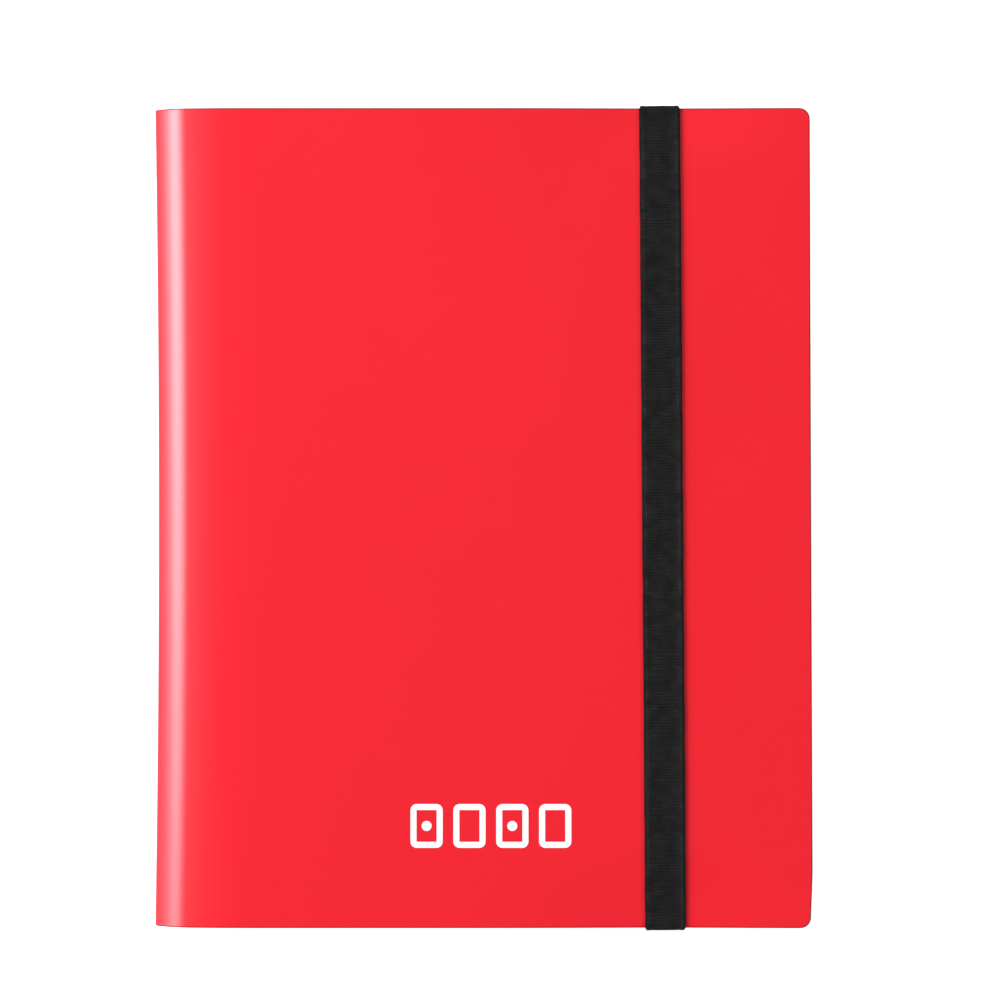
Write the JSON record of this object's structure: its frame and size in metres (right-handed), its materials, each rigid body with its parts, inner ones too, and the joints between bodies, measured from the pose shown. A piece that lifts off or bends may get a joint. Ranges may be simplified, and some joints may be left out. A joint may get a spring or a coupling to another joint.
{
  "type": "trading card binder",
  "caption": "Closed trading card binder: bent plastic wrap cover, bound side-loading pocket pages and an elastic strap down the front. Opens flat in the middle.",
  "frame": {"origin": "under the middle of the closed binder, on the surface that its back cover lies on", "axes": "+Y up the cover, +X from the spine to the fore-edge, +Z through the thickness from the back cover to the front cover"},
  "size_m": [0.248, 0.312, 0.0309],
  "materials": {
    "cover_red": "satin polypropylene sheet, dyed through, soft grain",
    "page_black": "matte black polypropylene sheet",
    "pocket_clear": "clear glossy polypropylene film",
    "strap_black": "ribbed woven elastic",
    "patch_red": "welded polypropylene patch in the cover's colour"
  },
  "bodies": {
    "back_cover": {"back_cover": "cover_red", "strap_patch_top": "patch_red", "strap_patch_bottom": "patch_red"},
    "back_fold": {"back_hinge_fold": "cover_red"},
    "spine": {"spine_panel": "cover_red", "binding_strip": "page_black", "page_margins": "page_black"},
    "front_fold": {"front_hinge_fold": "cover_red"},
    "front_cover": {"front_cover": "cover_red"},
    "page_01": {"page_core_01": "page_black", "pocket_films_01": "pocket_clear"},
    "page_02": {"page_core_02": "page_black", "pocket_films_02": "pocket_clear"},
    "page_03": {"page_core_03": "page_black", "pocket_films_03": "pocket_clear"},
    "page_04": {"page_core_04": "page_black", "pocket_films_04": "pocket_clear"},
    "page_05": {"page_core_05": "page_black", "pocket_films_05": "pocket_clear"},
    "page_06": {"page_core_06": "page_black", "pocket_films_06": "pocket_clear"},
    "page_07": {"page_core_07": "page_black", "pocket_films_07": "pocket_clear"},
    "page_08": {"page_core_08": "page_black", "pocket_films_08": "pocket_clear"},
    "page_09": {"page_core_09": "page_black", "pocket_films_09": "pocket_clear"},
    "page_10": {"page_core_10": "page_black", "pocket_films_10": "pocket_clear"},
    "page_11": {"page_core_11": "page_black", "pocket_films_11": "pocket_clear"},
    "page_12": {"page_core_12": "page_black", "pocket_films_12": "pocket_clear"},
    "page_13": {"page_core_13": "page_black", "pocket_films_13": "pocket_clear"},
    "page_14": {"page_core_14": "page_black", "pocket_films_14": "pocket_clear"},
    "page_15": {"page_core_15": "page_black", "pocket_films_15": "pocket_clear"},
    "page_16": {"page_core_16": "page_black", "pocket_films_16": "pocket_clear"},
    "page_17": {"page_core_17": "page_black", "pocket_films_17": "pocket_clear"},
    "page_18": {"page_core_18": "page_black", "pocket_films_18": "pocket_clear"},
    "page_19": {"page_core_19": "page_black", "pocket_films_19": "pocket_clear"},
    "page_20": {"page_core_20": "page_black", "pocket_films_20": "pocket_clear"},
    "strap": {"elastic_strap": "strap_black"}
  },
  "joints": [
    {"name": "back_fold_bend", "type": "hinge", "parent": "back_cover", "child": "back_fold", "pos_m": [-0.11652, 0, 0.0011], "axis": [0, -1, 0], "range_deg": [0, 45], "deforming": ["back_hinge_fold"]},
    {"name": "spine_back_bend", "type": "hinge", "parent": "back_fold", "child": "spine", "pos_m": [-0.1229, 0, 0.00748], "axis": [0, -1, 0], "range_deg": [0, 45], "deforming": ["page_margins"]},
    {"name": "spine_front_bend", "type": "hinge", "parent": "spine", "child": "front_fold", "pos_m": [-0.1229, 0, 0.02252], "axis": [0, -1, 0], "range_deg": [0, 45]},
    {"name": "front_fold_bend", "type": "hinge", "parent": "front_fold", "child": "front_cover", "pos_m": [-0.11652, 0, 0.0289], "axis": [0, -1, 0], "range_deg": [0, 45], "deforming": ["front_hinge_fold"]},
    {"name": "page_01_turn", "type": "hinge", "parent": "spine", "child": "page_01", "pos_m": [-0.11649, 0, 0.02249], "axis": [0, -1, 0], "range_deg": [0, 90]},
    {"name": "page_02_turn", "type": "hinge", "parent": "spine", "child": "page_02", "pos_m": [-0.11616, 0, 0.02216], "axis": [0, -1, 0], "range_deg": [0, 90]},
    {"name": "page_03_turn", "type": "hinge", "parent": "spine", "child": "page_03", "pos_m": [-0.11579, 0, 0.02179], "axis": [0, -1, 0], "range_deg": [0, 90]},
    {"name": "page_04_turn", "type": "hinge", "parent": "spine", "child": "page_04", "pos_m": [-0.11537, 0, 0.02137], "axis": [0, -1, 0], "range_deg": [0, 90]},
    {"name": "page_05_turn", "type": "hinge", "parent": "spine", "child": "page_05", "pos_m": [-0.11492, 0, 0.02092], "axis": [0, -1, 0], "range_deg": [0, 90]},
    {"name": "page_06_turn", "type": "hinge", "parent": "spine", "child": "page_06", "pos_m": [-0.11442, 0, 0.02042], "axis": [0, -1, 0], "range_deg": [0, 90]},
    {"name": "page_07_turn", "type": "hinge", "parent": "spine", "child": "page_07", "pos_m": [-0.11388, 0, 0.01988], "axis": [0, -1, 0], "range_deg": [0, 90]},
    {"name": "page_08_turn", "type": "hinge", "parent": "spine", "child": "page_08", "pos_m": [-0.1133, 0, 0.0193], "axis": [0, -1, 0], "range_deg": [0, 90]},
    {"name": "page_09_turn", "type": "hinge", "parent": "spine", "child": "page_09", "pos_m": [-0.11268, 0, 0.01868], "axis": [0, -1, 0], "range_deg": [0, 90]},
    {"name": "page_10_turn", "type": "hinge", "parent": "spine", "child": "page_10", "pos_m": [-0.112, 0, 0.018], "axis": [0, -1, 0], "range_deg": [0, 90]},
    {"name": "page_11_turn", "type": "hinge", "parent": "spine", "child": "page_11", "pos_m": [-0.112, 0, 0.012], "axis": [0, 1, 0], "range_deg": [0, 90]},
    {"name": "page_12_turn", "type": "hinge", "parent": "spine", "child": "page_12", "pos_m": [-0.11268, 0, 0.01132], "axis": [0, 1, 0], "range_deg": [0, 90]},
    {"name": "page_13_turn", "type": "hinge", "parent": "spine", "child": "page_13", "pos_m": [-0.1133, 0, 0.0107], "axis": [0, 1, 0], "range_deg": [0, 90]},
    {"name": "page_14_turn", "type": "hinge", "parent": "spine", "child": "page_14", "pos_m": [-0.11388, 0, 0.01012], "axis": [0, 1, 0], "range_deg": [0, 90]},
    {"name": "page_15_turn", "type": "hinge", "parent": "spine", "child": "page_15", "pos_m": [-0.11442, 0, 0.00958], "axis": [0, 1, 0], "range_deg": [0, 90]},
    {"name": "page_16_turn", "type": "hinge", "parent": "spine", "child": "page_16", "pos_m": [-0.11492, 0, 0.00908], "axis": [0, 1, 0], "range_deg": [0, 90]},
    {"name": "page_17_turn", "type": "hinge", "parent": "spine", "child": "page_17", "pos_m": [-0.11537, 0, 0.00863], "axis": [0, 1, 0], "range_deg": [0, 90]},
    {"name": "page_18_turn", "type": "hinge", "parent": "spine", "child": "page_18", "pos_m": [-0.11579, 0, 0.00821], "axis": [0, 1, 0], "range_deg": [0, 90]},
    {"name": "page_19_turn", "type": "hinge", "parent": "spine", "child": "page_19", "pos_m": [-0.11616, 0, 0.00784], "axis": [0, 1, 0], "range_deg": [0, 90]},
    {"name": "page_20_turn", "type": "hinge", "parent": "spine", "child": "page_20", "pos_m": [-0.11649, 0, 0.00751], "axis": [0, 1, 0], "range_deg": [0, 90]},
    {"name": "strap_release", "type": "hinge", "parent": "back_cover", "child": "strap", "pos_m": [0.0672, 0, 0.01495], "axis": [0, 1, 0], "range_deg": [0, 180], "deforming": ["elastic_strap"]}
  ],
  "couplings": [
    {"joint": "spine_back_bend", "follows": "back_fold_bend", "ratio": 1},
    {"joint": "spine_front_bend", "follows": "back_fold_bend", "ratio": 1},
    {"joint": "front_fold_bend", "follows": "back_fold_bend", "ratio": 1},
    {"joint": "page_01_turn", "follows": "back_fold_bend", "ratio": 2},
    {"joint": "page_02_turn", "follows": "back_fold_bend", "ratio": 2},
    {"joint": "page_03_turn", "follows": "back_fold_bend", "ratio": 2},
    {"joint": "page_04_turn", "follows": "back_fold_bend", "ratio": 2},
    {"joint": "page_05_turn", "follows": "back_fold_bend", "ratio": 2},
    {"joint": "page_06_turn", "follows": "back_fold_bend", "ratio": 2},
    {"joint": "page_07_turn", "follows": "back_fold_bend", "ratio": 2},
    {"joint": "page_08_turn", "follows": "back_fold_bend", "ratio": 2},
    {"joint": "page_09_turn", "follows": "back_fold_bend", "ratio": 2},
    {"joint": "page_10_turn", "follows": "back_fold_bend", "ratio": 2},
    {"joint": "page_11_turn", "follows": "back_fold_bend", "ratio": 2},
    {"joint": "page_12_turn", "follows": "back_fold_bend", "ratio": 2},
    {"joint": "page_13_turn", "follows": "back_fold_bend", "ratio": 2},
    {"joint": "page_14_turn", "follows": "back_fold_bend", "ratio": 2},
    {"joint": "page_15_turn", "follows": "back_fold_bend", "ratio": 2},
    {"joint": "page_16_turn", "follows": "back_fold_bend", "ratio": 2},
    {"joint": "page_17_turn", "follows": "back_fold_bend", "ratio": 2},
    {"joint": "page_18_turn", "follows": "back_fold_bend", "ratio": 2},
    {"joint": "page_19_turn", "follows": "back_fold_bend", "ratio": 2},
    {"joint": "page_20_turn", "follows": "back_fold_bend", "ratio": 2},
    {"joint": "strap_release", "follows": "back_fold_bend", "ratio": 4}
  ]
}
